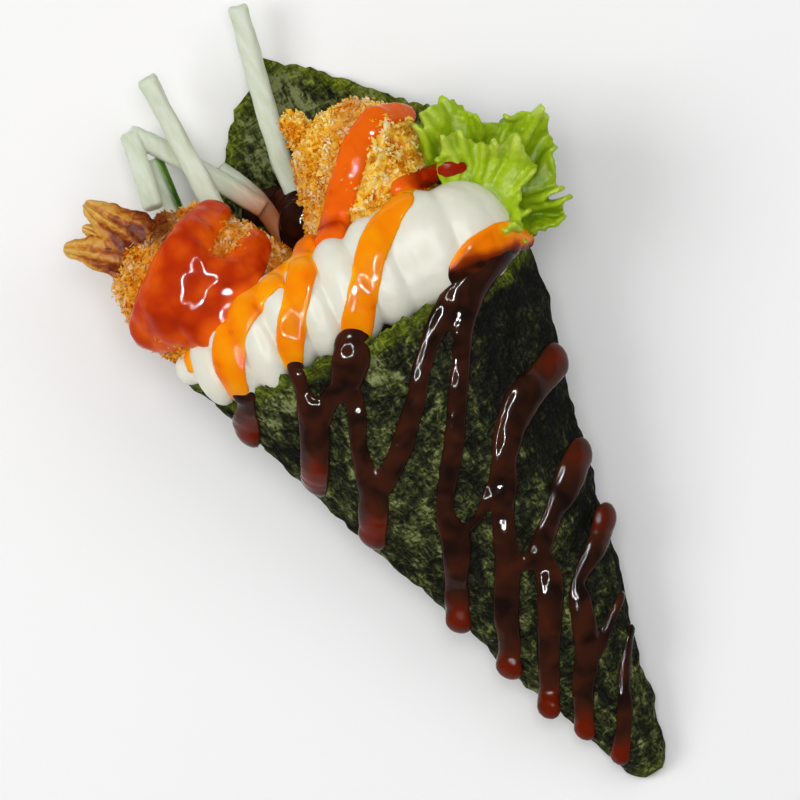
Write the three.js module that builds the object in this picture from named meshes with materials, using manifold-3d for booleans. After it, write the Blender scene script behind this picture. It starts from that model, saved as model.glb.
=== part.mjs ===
// A temaki hand roll that lies on its back, in millimetres.
// +Y runs along the cone from its tip to its mouth, +X to the right of the shown side, +Z up.
// The origin is on the flat underside, below the cone's axis and TIP_TO_ORIGIN from the tip.

import * as THREE from "three";
import Module from "manifold-3d";

const wasm = await Module();
wasm.setup();

// Placing and clearances
const TIP_TO_ORIGIN = 80;
const CLEARANCE = 0.3;

// The higher, the blunter the ends of every swept body
const END_BLUNTNESS = 5;

// Seaweed wrap: a flattened cone whose sheet ends in one corner behind the fillings
const TIP_HALF_WIDTH = 3.5;
const TIP_ROUNDING = 5;
const TIP_BLUNTNESS = 0.5;
const WIDENING = 0.293;
const FLATNESS = 0.66;
const BED = 0.95;
const WALL = 1;
const LAYER_STEP = 0.5;
const LAYER_START = 30;
const LAYER_WIND = 0.22;
const LAYER_BLEND = 7;
const LAYER_END = 260;
const POCKET_FLOOR = 74;
const WRAP_COLUMNS = 54;
const OUTER_ROWS = 20;
const TIP_CROWDING = 1.35;
const INNER_ROWS = 6;
const RAGGED = 0.5;
const RAGGED_WAVES = [17, 7];
// Degrees round the mouth, from the right over the front, and the sheet's length from the tip there
const RIM = [
  [0, 104], [18, 98.5], [50, 97.5], [90, 98.5], [125, 101], [156, 102.5], [170, 108],
  [182, 111], [208, 119.5], [240, 132], [257, 141], [266, 148.5], [279, 155], [290, 147],
  [304, 137.4], [331, 121], [360, 104],
];

// Cucumber sticks: routes of x, length from the tip and layer above the wrap's floor
const STICK = 3.4;
const STICK_BEVEL = 0.5;
const STICK_STEPS = 9;
const STICK_SECTION = [[1, 1], [-1, 1], [-1, -1], [1, -1]].flatMap(([across, rise], corner) => {
  const flat = STICK / 2 - STICK_BEVEL;
  const before = [(across * STICK) / 2, rise * flat];
  const after = [across * flat, (rise * STICK) / 2];
  return corner % 2 === 0 ? [before, after] : [after, before];
});
const BEND = [-21.4, 156, 1.3];
const STICKS = [
  { name: "cucumber_tall",
    routes: [[[8.8, 165.8, 1.6], [3.8, 149, 0.6], [-0.4, 132.2, 0], [-1.5, 112, 0], [-2, 92, 0]]] },
  { name: "cucumber_bent",
    routes: [[[-24.8, 141.6, 1.6], BEND], [BEND, [-15.4, 146.6, 1.15], [-7.2, 130.6, 1.05]]] },
  { name: "cucumber_left",
    routes: [[[-13.1, 162.8, 3.4], [-14, 150.6, 2.7], [-14.6, 140.9, 2.5], [-15.5, 124, 1], [-14, 104, 0]]] },
  { name: "cucumber_skin",
    routes: [[[-20.2, 149.5, 0.2], [-21.8, 139.7, 0.1], [-22.2, 126, 0], [-20, 108, 0]]] },
  { name: "cucumber_short",
    routes: [[[-10.6, 141.4, 0.1], [-7.4, 133, 0], [-6.8, 118, 0], [-7, 98, 0]]] },
];

// Breaded prawns: routes of x, length from the tip, height and radius
const PRAWN_ROWS = 16;
const PRAWN_COLUMNS = 20;
const CRUST_RELIEF = 0.045;
// Each wave of the crust: its turns round the body, its turn along it and its shift
const CRUST_WAVES = [[3, 9, 0], [5, -14, 1], [2, 23, Math.PI / 2]];
const PRAWN_RIGHT = [
  [15.5, 138.6, 21, 12.2], [12.8, 126, 20.5, 13.2], [8.5, 113, 19, 12.4], [8, 98, 15, 10.4],
  [8, 84, 12.5, 8.5],
];
const PRAWN_LEFT = [
  [-32, 137, 25, 10.5], [-26.5, 126.5, 21.5, 14.6], [-20, 115, 19.5, 14.2], [-14, 102, 16, 11.2],
  [-10.5, 87, 13, 8.5],
];
const TAIL_ROOT = [-29, 133, 25];
const FIN_THICKNESS = 2.6;
const FIN_MIDDLE = 0.55;
const FIN_NECK = 0.72;
const FIN_SWELL = 1.3;
const FIN_RIDGES = 6;
const FIN_RIDGE = 0.12;
const FIN_ROWS = 8;
const FIN_COLUMNS = 12;
const FINS = [{ tip: [-35, 148.8, 27], halfWidth: 4.6 }, { tip: [-43, 143.2, 26], halfWidth: 4.4 }];

// Mayonnaise: a piped rope across the mouth, as x, length from the tip, height and half its width
const ROPE = [
  [-36.5, 111.5, 25, 3.2], [-30, 109.2, 29, 6.4], [-22, 109.2, 33, 9.2], [-8, 108.6, 36, 9.8],
  [4, 108, 36.5, 9.8], [15, 108, 35, 10.2], [24, 106, 32, 8.4], [31, 104, 28, 4.8],
];
const ROPE_ROWS = 40;
const ROPE_COLUMNS = 18;
const ROPE_HEIGHT_SHARE = 0.82;
const SWIRLS = 6;
const SWIRL_DEPTH = 0.2;
const SWIRL_SHARPNESS = 3;
// The swirls fade to SWIRL_REST of their depth between these shares of the rope
const SWIRL_FADE = [0.6, 0.95];
const SWIRL_REST = 0.35;
const ROPE_FULLNESS = 1.02;

// Lettuce: a leaf in four lobes on a stem that runs into the pocket.
// The radii go by degrees from +X; each wave is its turn across, its turn onward and its depth.
const LEAF_CENTRE = [25, 107, 26];
const LEAF_RADII = [
  [-72, 10], [-64, 12.5], [-50, 11], [-36, 15], [-16, 17], [-5, 14.5], [4, 21.5], [20, 25], [38, 24.5],
  [48, 22.5], [55, 19.5], [62, 23], [76, 24.5], [88, 21],
];
const LEAF_WAVES = [[0.55, 0.4, 2.2], [-0.35, 0.66, 1.9], [1.05, -0.5, 0.9]];
const LEAF_THICKNESS = 2;
const LEAF_HEART = 0.12;
const LEAF_COLUMNS = 42;
const LEAF_ROWS = 6;
const LEAF_CURL = 1.5;
const LEAF_LIFT = 2.5;
const TEETH = 10;
const TOOTH = 0.9;
const STEM = [[25, 109, 25, 3.4], [24, 100, 21, 3.2], [22, 90, 19, 2.6]];
const STEM_ROWS = 8;
const STEM_COLUMNS = 10;

// Colour and roughness
const NORI_LOOK = [0x2a3622, 0.6];
const CUCUMBER_LOOK = [0xd2dbc4, 0.35];
const GOLDEN_LOOK = [0xdf9a3c, 0.75];
const BROWNED_LOOK = [0xc8742c, 0.7];
const MAYONNAISE_LOOK = [0xe9eade, 0.35];
const LEAF_LOOK = [0x9fbf3f, 0.45];

const radians = THREE.MathUtils.degToRad;

// Places

function place(x, along, height) {
  return new THREE.Vector3(x, along - TIP_TO_ORIGIN, height);
}

function between(stations, at) {
  let index = 1;
  while (index < stations.length - 1 && stations[index][0] < at) {
    index += 1;
  }
  const [from, low] = stations[index - 1];
  const [to, high] = stations[index];
  const share = THREE.MathUtils.clamp((at - from) / (to - from), 0, 1);
  return low + (high - low) * share;
}

// Closed bodies

function signedVolume(positions, triangles) {
  const corners = [new THREE.Vector3(), new THREE.Vector3(), new THREE.Vector3()];
  let volume = 0;
  for (let start = 0; start < triangles.length; start += 3) {
    corners.forEach((corner, index) => corner.fromArray(positions, 3 * triangles[start + index]));
    volume += corners[0].dot(corners[1].cross(corners[2])) / 6;
  }
  return volume;
}

// Rings of equal length become one skin, closed at each end by a fan to the ring's middle.
function loft(rings) {
  const columns = rings[0].length;
  const points = rings.flat();
  const middles = [rings[0], rings.at(-1)].map((ring) => {
    const sum = ring.reduce((total, point) => total.add(point), new THREE.Vector3());
    return sum.divideScalar(columns);
  });
  const start = points.push(...middles) - 2;
  const triangles = [];
  for (let column = 0; column < columns; column += 1) {
    const next = (column + 1) % columns;
    for (let row = 0; row < rings.length - 1; row += 1) {
      const near = row * columns;
      const far = near + columns;
      triangles.push(near + column, far + column, near + next);
      triangles.push(near + next, far + column, far + next);
    }
    const last = (rings.length - 1) * columns;
    triangles.push(start, column, next);
    triangles.push(start + 1, last + next, last + column);
  }
  const positions = points.flatMap((point) => point.toArray());
  if (signedVolume(positions, triangles) < 0) {
    triangles.reverse();
  }
  return new wasm.Manifold(new wasm.Mesh({
    numProp: 3,
    vertProperties: new Float32Array(positions),
    triVerts: new Uint32Array(triangles),
  }));
}

function largest(solid) {
  return solid.decompose().reduce((best, piece) => (piece.volume() > best.volume() ? piece : best));
}

function cut(solid, tools) {
  return largest(tools.reduce((left, tool) => left.subtract(tool), solid));
}

// A body along a route of [x, length from the tip, height, half width].
// section(angle, share) gives the sideways and upward reach at half width 1.
function sweep(route, rows, columns, growth, section) {
  const line = new THREE.CatmullRomCurve3(route.map(([x, along, height]) => place(x, along, height)));
  const sizes = new THREE.CatmullRomCurve3(
    route.map(([, , , size], index) => new THREE.Vector3(index, size, 0)),
  );
  const up = new THREE.Vector3(0, 0, 1);
  const rings = [];
  for (let row = 1; row < rows; row += 1) {
    const share = (1 - Math.cos((Math.PI * row) / rows)) / 2;
    const bluntness = Math.sqrt(1 - Math.abs(2 * share - 1) ** END_BLUNTNESS);
    const size = sizes.getPoint(share).y * bluntness + growth;
    const ahead = line.getTangent(share);
    const centre = line.getPoint(share).addScaledVector(ahead, growth * (2 * share - 1));
    const side = new THREE.Vector3().crossVectors(ahead, up).normalize();
    const above = new THREE.Vector3().crossVectors(side, ahead);
    const ring = [];
    for (let column = 0; column < columns; column += 1) {
      const [across, rise] = section((2 * Math.PI * column) / columns, share);
      ring.push(centre.clone().addScaledVector(side, across * size).addScaledVector(above, rise * size));
    }
    rings.push(ring);
  }
  return loft(rings);
}

// Seaweed wrap

function halfWidthAt(along) {
  const rounding = 1 - Math.min(1, (along + TIP_BLUNTNESS) / TIP_ROUNDING);
  return (TIP_HALF_WIDTH + WIDENING * along) * Math.sqrt(1 - rounding ** 2);
}

function rimAt(degrees) {
  const [fast, slow] = RAGGED_WAVES.map((wave) => radians(degrees * wave));
  return between(RIM, degrees) + RAGGED * Math.sin(fast) * Math.cos(slow);
}

// The outer sheet ends in a straight edge that winds slowly round the cone's right side.
function layerAt(along, degrees) {
  const edge = LAYER_START - LAYER_WIND * along;
  const rise = THREE.MathUtils.smoothstep(degrees, edge, edge + LAYER_BLEND);
  return degrees < LAYER_END ? LAYER_STEP * rise : 0;
}

function wrapPoint(along, degrees, inset) {
  const halfWidth = halfWidthAt(along);
  const halfHeight = FLATNESS * halfWidth;
  const reach = inset > 0 ? -inset : layerAt(along, degrees) - inset;
  const x = (halfWidth + reach) * Math.cos(radians(degrees));
  const height = BED * halfHeight + (halfHeight + reach) * Math.sin(radians(degrees));
  return place(x, along, Math.max(height, inset));
}

function wrapRing(alongAt, inset) {
  return Array.from({ length: WRAP_COLUMNS }, (_, column) => {
    const degrees = (360 * column) / WRAP_COLUMNS;
    return wrapPoint(alongAt(rimAt(degrees)), degrees, inset);
  });
}

function wrap(growth) {
  const rings = [];
  for (let row = 0; row <= OUTER_ROWS; row += 1) {
    const share = row / OUTER_ROWS;
    rings.push(wrapRing((rim) => -growth + (rim + 2 * growth) * share ** TIP_CROWDING, -growth));
  }
  for (let row = 0; row <= INNER_ROWS; row += 1) {
    const share = row / INNER_ROWS;
    const floor = POCKET_FLOOR + growth;
    rings.push(wrapRing((rim) => rim + growth + (floor - rim - growth) * share, WALL + growth));
  }
  return loft(rings);
}

function floorAt(x, along) {
  const halfWidth = halfWidthAt(along);
  const rise = BED - Math.sqrt(1 - (x / halfWidth) ** 2);
  return Math.max(0, FLATNESS * halfWidth * rise) + WALL;
}

// Cucumber

function straightStick(route, growth) {
  const points = route.map(([x, along, layer]) => {
    const height = floorAt(x, along) + CLEARANCE + STICK / 2 + layer * (STICK + CLEARANCE);
    return place(x, along, height);
  });
  const line = new THREE.CatmullRomCurve3(points);
  const up = new THREE.Vector3(0, 0, 1);
  const scale = 1 + (2 * growth) / STICK;
  const rings = [];
  for (let step = 0; step <= STICK_STEPS; step += 1) {
    const share = step / STICK_STEPS;
    const ahead = line.getTangent(share);
    const centre = line.getPoint(share).addScaledVector(ahead, growth * (2 * share - 1));
    const side = new THREE.Vector3().crossVectors(ahead, up).normalize();
    const above = new THREE.Vector3().crossVectors(side, ahead);
    rings.push(STICK_SECTION.map(([across, rise]) => {
      return centre.clone().addScaledVector(side, across * scale).addScaledVector(above, rise * scale);
    }));
  }
  return loft(rings);
}

// A bent stick is two legs that meet at the bend.
function stick(routes, growth) {
  return routes.map((route) => straightStick(route, growth)).reduce((joined, leg) => joined.add(leg));
}

// Prawns

function crustSection(angle, share) {
  const lumps = CRUST_WAVES.reduce((sum, [round, onward, shift]) => {
    return sum + Math.sin(round * angle + onward * share + shift);
  }, 0);
  const reach = 1 + CRUST_RELIEF * lumps;
  return [Math.cos(angle) * reach, Math.sin(angle) * reach];
}

function prawnBody(route, growth) {
  return sweep(route, PRAWN_ROWS, PRAWN_COLUMNS, growth, crustSection);
}

function fin({ tip, halfWidth }, growth) {
  const root = new THREE.Vector3(...TAIL_ROOT);
  const end = new THREE.Vector3(...tip);
  const middle = root.clone().lerp(end, FIN_MIDDLE);
  const route = [root, middle, end].map((point) => [...point.toArray(), halfWidth]);
  const thinness = FIN_THICKNESS / (2 * halfWidth);
  return sweep(route, FIN_ROWS, FIN_COLUMNS, growth, (angle, share) => {
    const ridges = 1 + FIN_RIDGE * Math.cos(FIN_RIDGES * angle);
    const swell = Math.sin(Math.PI * Math.min(1, share * FIN_SWELL));
    const spread = FIN_NECK + (1 - FIN_NECK) * swell;
    return [Math.cos(angle) * spread, Math.sin(angle) * thinness * ridges];
  });
}

function prawnLeft(growth) {
  return FINS.reduce((body, shape) => body.add(fin(shape, growth)), prawnBody(PRAWN_LEFT, growth));
}

// Mayonnaise

function ropeSection(angle, share) {
  const phase = 2 * Math.PI * SWIRLS * share - angle;
  const crease = (1 - Math.abs(Math.sin(phase / 2))) ** SWIRL_SHARPNESS;
  const fade = THREE.MathUtils.lerp(1, SWIRL_REST, THREE.MathUtils.smoothstep(share, ...SWIRL_FADE));
  const reach = ROPE_FULLNESS - SWIRL_DEPTH * crease * fade;
  return [Math.cos(angle) * reach, Math.sin(angle) * reach * ROPE_HEIGHT_SHARE];
}

function rope(growth) {
  return sweep(ROPE, ROPE_ROWS, ROPE_COLUMNS, growth, ropeSection);
}

// Lettuce

function leafPoint(share, reach, lift) {
  const degrees = THREE.MathUtils.lerp(LEAF_RADII[0][0], LEAF_RADII.at(-1)[0], share);
  const [x, along, height] = LEAF_CENTRE;
  const tooth = TOOTH * reach * Math.cos(2 * Math.PI * TEETH * share);
  const radius = reach * (between(LEAF_RADII, degrees) + tooth);
  const across = radius * Math.cos(radians(degrees));
  const onward = radius * Math.sin(radians(degrees));
  const ripple = LEAF_WAVES.reduce((sum, [acrossTurn, onwardTurn, depth], index) => {
    return sum + depth * Math.sin(acrossTurn * across + onwardTurn * onward + index);
  }, 0);
  const rise = ripple * reach ** LEAF_CURL + LEAF_LIFT * reach;
  return place(x + across, along + onward, height + rise + lift);
}

// Each ring runs out along the leaf's upper side and back along its lower side.
function leaf() {
  const reachAt = (row) => THREE.MathUtils.lerp(LEAF_HEART, 1, row / LEAF_ROWS);
  const rings = [];
  for (let column = 0; column <= LEAF_COLUMNS; column += 1) {
    const share = column / LEAF_COLUMNS;
    const upper = [];
    const lower = [];
    for (let row = 0; row <= LEAF_ROWS; row += 1) {
      upper.push(leafPoint(share, reachAt(row), LEAF_THICKNESS / 2));
      lower.unshift(leafPoint(share, reachAt(row), -LEAF_THICKNESS / 2));
    }
    rings.push([...upper, ...lower]);
  }
  return loft(rings);
}

function lettuce() {
  const stem = sweep(STEM, STEM_ROWS, STEM_COLUMNS, 0, (angle) => [Math.cos(angle), Math.sin(angle)]);
  return leaf().add(stem);
}

// Meshes

function mesh(name, solid, [color, roughness]) {
  const { numProp, vertProperties, triVerts } = solid.getMesh();
  const geometry = new THREE.BufferGeometry();
  geometry.setAttribute("position", new THREE.BufferAttribute(new Float32Array(vertProperties), numProp));
  geometry.setIndex(new THREE.BufferAttribute(new Uint32Array(triVerts), 1));
  geometry.computeVertexNormals();
  const made = new THREE.Mesh(geometry, new THREE.MeshStandardMaterial({ color, roughness }));
  made.name = name;
  return made;
}

const beneath = [wrap(CLEARANCE)];
const sticks = STICKS.map(({ name, routes }) => {
  const solid = cut(stick(routes, 0), beneath);
  beneath.push(stick(routes, CLEARANCE));
  return { name, solid };
});

const prawnRight = cut(prawnBody(PRAWN_RIGHT, 0), beneath);
const grownPrawnRight = prawnBody(PRAWN_RIGHT, CLEARANCE);
const prawnLeftSolid = cut(prawnLeft(0), [...beneath, grownPrawnRight]);
const filled = [...beneath, grownPrawnRight, prawnLeft(CLEARANCE)];
const mayonnaise = cut(rope(0), filled);
const leafSolid = cut(lettuce(), [...filled, rope(2 * CLEARANCE)]);

const roll = new THREE.Group();
roll.add(mesh("nori_wrap", wrap(0), NORI_LOOK));
sticks.forEach(({ name, solid }) => roll.add(mesh(name, solid, CUCUMBER_LOOK)));
roll.add(mesh("prawn_right", prawnRight, GOLDEN_LOOK));
roll.add(mesh("prawn_left", prawnLeftSolid, BROWNED_LOOK));
roll.add(mesh("mayonnaise", mayonnaise, MAYONNAISE_LOOK));
roll.add(mesh("lettuce", leafSolid, LEAF_LOOK));

export default roll;
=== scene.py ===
"""The looks of a temaki hand roll that lies on its back, built round its CAD solids.

Lengths are in millimetres until a mesh is made, and in metres for lights, floor and camera.
Places are (x, length from the cone's tip, height).
"""

import math

import bmesh
import bpy
import numpy as np
from mathutils import Matrix, Vector, noise
from mathutils.bvhtree import BVHTree


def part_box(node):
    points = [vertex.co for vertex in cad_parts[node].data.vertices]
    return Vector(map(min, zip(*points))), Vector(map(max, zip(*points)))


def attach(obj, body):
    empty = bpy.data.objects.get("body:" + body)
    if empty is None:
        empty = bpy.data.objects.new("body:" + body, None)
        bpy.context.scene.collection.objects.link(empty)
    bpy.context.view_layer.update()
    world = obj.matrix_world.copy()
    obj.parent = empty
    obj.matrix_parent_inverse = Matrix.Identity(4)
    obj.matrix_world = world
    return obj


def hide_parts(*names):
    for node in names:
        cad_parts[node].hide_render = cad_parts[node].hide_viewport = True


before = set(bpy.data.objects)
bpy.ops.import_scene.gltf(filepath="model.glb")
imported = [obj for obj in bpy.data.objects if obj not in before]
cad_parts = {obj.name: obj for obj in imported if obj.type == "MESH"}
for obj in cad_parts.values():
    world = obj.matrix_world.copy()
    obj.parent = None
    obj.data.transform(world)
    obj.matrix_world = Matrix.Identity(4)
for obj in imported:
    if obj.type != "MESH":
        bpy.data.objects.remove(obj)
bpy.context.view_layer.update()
MM = 0.001
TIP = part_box("nori_wrap")[0].y / MM
BODY = "root"
DRAW = np.random.RandomState(7)
noise.seed_set(2)

# The edge length of remade skins, and how finely the balls in them are divided
VOXEL = 0.4
BALL_DETAIL = 3

# The wrap, as the CAD solid has it
TIP_HALF_WIDTH = 3.5
TIP_ROUNDING = 5
TIP_BLUNTNESS = 0.5
WIDENING = 0.293
FLATNESS = 0.66
BED = 0.95
POCKET_FLOOR = 74
SHEET = 0.55
LAYER_STEP = 0.45
LAYER_START = 30
LAYER_WIND = 0.22
LAYER_RISE = 1.5
LAYER_END = 262
NORI_COLUMNS = 280
NORI_ROWS = 200
NORI_INNER_ROWS = 40
RIM = [
    (0, 104), (18, 98.5), (50, 97.5), (90, 98.5), (125, 101), (156, 102.5), (170, 108), (182, 111),
    (208, 119.5), (240, 132), (257, 141), (266, 148.5), (279, 155), (290, 147), (304, 137.4),
    (331, 121), (360, 104),
]

# How ragged the rim is, as (depth, ups and downs round it)
RAGS = [(0.9, 14), (1.1, 37), (0.9, 90)]

# The prawns' routes, as (x, length from the tip, height, radius)
PRAWN_RIGHT = [
    (15.5, 138.8, 21, 11.8), (12.6, 126, 20.5, 12.4), (8.5, 113, 19, 11.6), (8, 98, 15, 10),
    (8, 84, 12.5, 8),
]
SPUR = [(7, 135, 19, 4), (5.6, 140, 19.5, 2.8), (4.6, 143.2, 20, 1.7)]
PRAWN_LEFT = [
    (-32, 137, 25, 9.6), (-26.5, 126.5, 21.5, 13.9), (-20, 115, 19.5, 13.4), (-14, 102, 16, 10.6),
    (-10.5, 87, 13, 8),
]
ROUTE_STEPS = 60
CRUST_ROWS = 90
CRUST_COLUMNS = 110
CRUST_BLUNTNESS = 6
CHARRED = (-25.5, 138)
SOAKED_LEFT = (-25, 122)
TAIL_ROOT = (-28.5, 132.5, 25)
FINS = [((-35.2, 148.6, 27), 5), ((-43, 143.4, 26), 4.8), ((-38, 145, 25), 3.4)]
FIN_ROWS = 70
FIN_COLUMNS = 72

# A crumb's corners and faces, the range of its three sizes, and where crumbs begin
CRUMB = np.array(
    [(1, 0, 0), (0, 1, 0), (-1, 0, 0), (0, -1, 0), (0, 0, 1), (0, 0, -1)], float)
CRUMB_FACES = np.array([
    (0, 1, 4), (1, 2, 4), (2, 3, 4), (3, 0, 4), (1, 0, 5), (2, 1, 5), (3, 2, 5), (0, 3, 5),
])
CRUMB_LEAST = (0.34, 0.24, 0.14)
CRUMB_MOST = (0.68, 0.46, 0.28)
CRUMBS_FROM = 106

# The cucumber: x of the skin's edge by length from the tip, and how stained the sticks are
CUCUMBER_VOXEL = 0.34
SKIN_LINE = [(108, -19.6), (126, -21.6), (140, -21.3), (150, -19.7)]
STAINS = {"cucumber_bent": 0.95, "cucumber_short": 0.9}

# Lobes of the piped mayonnaise: x, length from the tip, height, and reach along x, y and z
MAYO_LOBES = [
    (-34.6, 111.6, 26.2, 2.7, 3, 2.8), (-30.9, 109.2, 29.4, 3.6, 7.2, 4.8),
    (-26, 109.6, 32.4, 4.2, 9.2, 6), (-20.4, 109, 34.2, 4.8, 10.2, 6.6),
    (-14.6, 109.4, 35, 4.8, 9.8, 6.8), (-8.6, 108.6, 35.8, 5.2, 10.2, 7),
    (-1.8, 108.4, 36.4, 5.8, 10.6, 7), (5.6, 108.2, 36.4, 6.4, 10.8, 7),
    (14.6, 107.6, 35, 9.8, 11.2, 7.6), (10, 107.8, 35.6, 8, 10.6, 6.9),
    (21, 106.4, 33.6, 9, 10, 7.3), (22.6, 106, 32.2, 9, 10.4, 7.2), (28, 104.2, 29.6, 5, 6.8, 5.2),
]
MAYO_TILT = -8

# The lettuce: radii by degrees from +X round its heart
LEAF_HEART = (25, 107)
LEAF_RADII = [
    (-72, 6), (-64, 7.5), (-50, 9), (-36, 13), (-16, 15.5), (-5, 14), (4, 19.5), (20, 23),
    (38, 22.5), (48, 20.5), (55, 19), (62, 21.5), (76, 23), (96, 19),
]
# Each sheet: height, size against the outline, seed
LEAF_SHEETS = [(22, 0.96, 9.0), (27.5, 1.02, 4.0), (32.5, 0.74, 6.5)]
FRILLS = 11
LEAF_ROWS = 50
LEAF_COLUMNS = 240
LEAF_THICKNESS = 1
LEAF_VOXEL = 0.38

# Where a drop of sauce looks for its surface, in shares of its spread, and from what heights
SEAT_OFFSETS = [
    (0, 0), (1, 0), (-1, 0), (0, 1), (0, -1), (0.6, 0.6), (-0.6, 0.6), (0.6, -0.6), (-0.6, -0.6),
]
SEAT_ABOVE = 80
SEAT_BESIDE = 22
STROKE_STEPS = 12
TONE_WEIGHT = 0.7

# Strokes of sauce, as (x, length from the tip, half width)
DARK_STROKES = [
    [(-28.5, 102, 2.3), (-29.5, 99.5, 2.1), (-31.2, 97, 3), (-32.2, 95, 3)],
    [(-17.5, 101.5, 1.6), (-18.8, 96.5, 1.6), (-19.8, 91.5, 3), (-22.5, 86.5, 3),
     (-26.2, 80.8, 3.2)],
    [(-5.5, 100.5, 3.4), (-8, 97, 3.7), (-10.5, 94.5, 3.2)],
    [(-12.5, 94, 2), (-16, 92.5, 2), (-19, 91, 2.6)],
    [(-10.5, 93.5, 2), (-12.5, 87.5, 1.8), (-15.5, 82, 1.7), (-17.5, 74, 2.9), (-18.5, 72, 3),
     (-22.4, 66.2, 3.1)],
    [(19.5, 98.4, 2.8), (13, 96.2, 2.6), (8, 93.4, 2.1), (2.5, 89, 1.9), (-1, 85, 1.9),
     (-5.5, 81, 2.1), (-9.5, 77.5, 2.2), (-16, 73.5, 2)],
    [(28.2, 98.4, 1.6), (25.4, 98.6, 2.8), (20.5, 97.6, 3.4), (15, 93.8, 2.6), (11.4, 89, 2.1),
     (7, 83, 2), (0, 73.5, 2), (-3.5, 69.5, 1.9), (-8, 63.5, 1.8), (-9, 58, 2.9), (-12, 53, 2.5),
     (-14.5, 48.5, 2.5), (-17, 43.8, 2.5)],
    [(1.5, 63, 1.2), (-1.5, 60.5, 1.1), (-4.5, 59, 1.1), (-7.5, 58.5, 1.4)],
    [(24.6, 77, 3.5), (20, 75.4, 3.3), (15.5, 74, 3.8), (12.5, 72, 3.5), (10, 70, 3.1),
     (6.5, 66, 2.7), (3.5, 61.5, 2.7), (0, 55.5, 2.2), (-3, 49, 2.6), (-8, 41.5, 2.5),
     (-10.5, 36, 2.4), (-13.4, 31.4, 2.7)],
    [(19.4, 59.6, 3.5), (13.5, 55.5, 3.2), (9, 52.5, 2.6), (4.5, 49, 2.3), (1.5, 47, 1.9),
     (-1.5, 49, 1.5)],
    [(3.5, 47.5, 1.9), (2, 42, 2.7), (-1, 37, 2.5), (-5, 31, 2.3), (-8, 25.5, 2.1), (-11, 21, 2.3)],
    [(17.2, 46.6, 3.1), (13, 43, 2.5), (8.5, 40.5, 1.9), (5.5, 38, 1.6), (5, 36, 2.2),
     (1.5, 27.5, 2.6), (-3, 21.5, 2.2), (-5.5, 17, 2), (-7.4, 13.6, 2.2)],
    [(12.5, 32.5, 0.9), (6.5, 28.5, 1.2), (4, 26.5, 1.2), (0.5, 25, 1.2)],
    [(10.5, 26, 1.1), (7, 22, 1.4), (4, 18, 1.4), (1.5, 13.5, 1.6), (-1, 10, 1.6), (-4.2, 6, 2)],
]
# The ends of the drips, where they are redder
DARK_ENDS = [
    (-31.8, 95.6), (-25.4, 82), (-21.6, 67.4), (-16.2, 45), (-13, 32), (-10.6, 21.6), (-7, 14.2),
    (-4, 6.4), (24.6, 77), (19.6, 59.6), (17.4, 46.6),
]
POOL_STROKES = [
    [(-9, 131, 2.4), (-5, 130, 3.8), (-1.5, 127.5, 3.6), (-3.5, 123, 4), (-5, 118.5, 3)],
]
ORANGE_STROKES = [
    [(-4, 118.4, 1.5), (-9.5, 117.6, 1.9), (-14.8, 116.8, 2.3), (-19.9, 115.4, 3),
     (-24.2, 113, 3.3), (-27.4, 109, 3.2), (-28.6, 105.6, 2.8), (-29, 102.6, 2.1)],
    [(-3.4, 119.4, 2.3), (-5, 118, 2.6), (-8.4, 114.5, 2.8), (-11.8, 110.8, 2.7), (-15.7, 106, 2.6),
     (-17.8, 101.8, 1.9)],
    [(22, 117.8, 1.2), (16.3, 117.4, 2.4), (10.6, 115.4, 2.9), (5.2, 111.6, 2.9), (1, 107, 2.9),
     (-3.1, 102.6, 3), (-5.2, 99.8, 2.9)],
    [(31.4, 99.4, 2), (28.4, 101.2, 3.4), (23.4, 101, 4.2), (18, 100, 3.4)],
    [(-33.6, 113.6, 1.4), (-34.4, 111.4, 1.1)],
]
# Where the soy sauce runs into the orange sauce
DARKENED = (27, 97)
RED_STROKES = [
    [(25.4, 131.2, 1.7), (20.4, 133.2, 2.3), (15.2, 131.6, 2.4), (9.6, 127, 2.6), (4.4, 122.2, 2.6),
     (0, 117.6, 2.8)],
    [(-15.3, 134.6, 3), (-19, 133.2, 3.6), (-23.4, 130.6, 4.4), (-29, 126.4, 5.6),
     (-35, 122.6, 4.8), (-38.3, 121.6, 3)],
    [(-27, 125, 5), (-33, 120.4, 4.4), (-37, 119.8, 3)],
    [(-22.2, 124, 4), (-26, 120.5, 5), (-31, 117.8, 3.6)],
    [(-11.4, 125.2, 2.6), (-16.4, 122.2, 3.8), (-22.2, 119.5, 4.4), (-28.5, 116.4, 3)],
    [(28.4, 117, 0.9), (25, 118.4, 1.5), (21.4, 119.2, 1.8), (16.5, 119.4, 2)],
]

# Lights: name, place, power and size; then a ring of small lamps, the floor and the view
SOFTBOXES = [
    ("softbox_left", (-0.55, 0.35, 0.75), 3.8, 0.5),
    ("softbox_right", (0.6, 0.1, 0.7), 1.2, 0.5),
    ("softbox_top", (0.05, 0.1, 1.1), 3.4, 0.4),
]
SKY_STRENGTH = 0.28
RING_LAMPS = 44
RING_RADIUS = 0.2
RING_HEIGHT = 0.5
RING_POWER = 1.7
RING_SIZE = 0.005
FLOOR_HALF = 3.0
FLOOR_DROP = 0.0002
CAMERA_DISTANCE = 1.5
CAMERA_TURN = -31.6
VIEW_WIDTH = 0.1504
VIEW_X = -0.0041
VIEW_ALONG = 0.086
VIEW_HEIGHT = 0.025


# Colours and numbers

def linear(red, green, blue):
    """A linear colour from display values between 0 and 255."""
    def one(value):
        value /= 255
        return value / 12.92 if value <= 0.04045 else ((value + 0.055) / 1.055) ** 2.4
    return one(red), one(green), one(blue), 1.0


def grey(value):
    return value, value, value, 1.0


def stations(table, at):
    """The value at a key, from a table of keys and values."""
    return np.interp(at, *zip(*table))


def fade(values, start, end):
    """Shares that rise from 0 at start to 1 at end."""
    return np.clip((values - start) / (end - start), 0, 1)


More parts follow.
